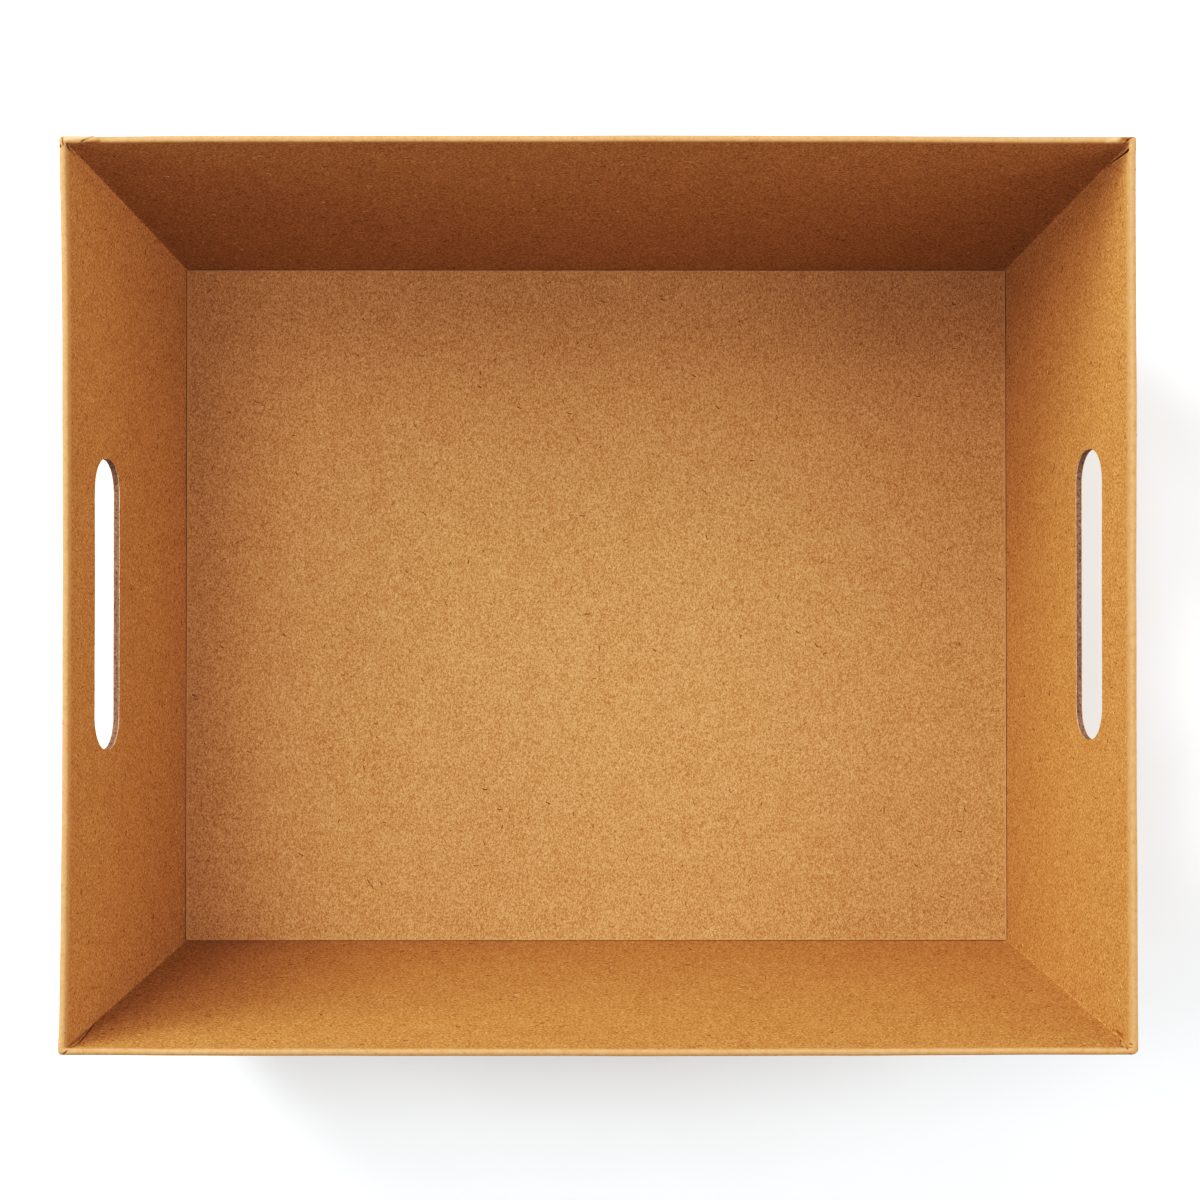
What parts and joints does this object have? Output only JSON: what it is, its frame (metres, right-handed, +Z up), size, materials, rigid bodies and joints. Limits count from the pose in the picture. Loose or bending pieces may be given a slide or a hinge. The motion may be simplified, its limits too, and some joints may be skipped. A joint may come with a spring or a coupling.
{
  "type": "cardboard tray box",
  "caption": "Open rectangular tray of kraft-wrapped greyboard with outward-leaning walls and a rounded hand slot in each end wall, for storing or carrying goods.",
  "frame": {"origin": "middle of the base's underside, on the surface that the tray stands on", "axes": "+Z up, +X along the long sides towards one slotted end wall, +Y across the tray"},
  "size_m": [0.35, 0.2984, 0.12],
  "materials": {
    "greyboard": "raw pressed waste-paper board, matt, seen at its cut edges",
    "kraft_paper": "unbleached machine kraft, matt, with fine speckle and fibres"
  },
  "bodies": {
    "root": {"greyboard_tray": "greyboard", "kraft_wrap": "kraft_paper", "floor_liner": "kraft_paper"}
  },
  "joints": []
}
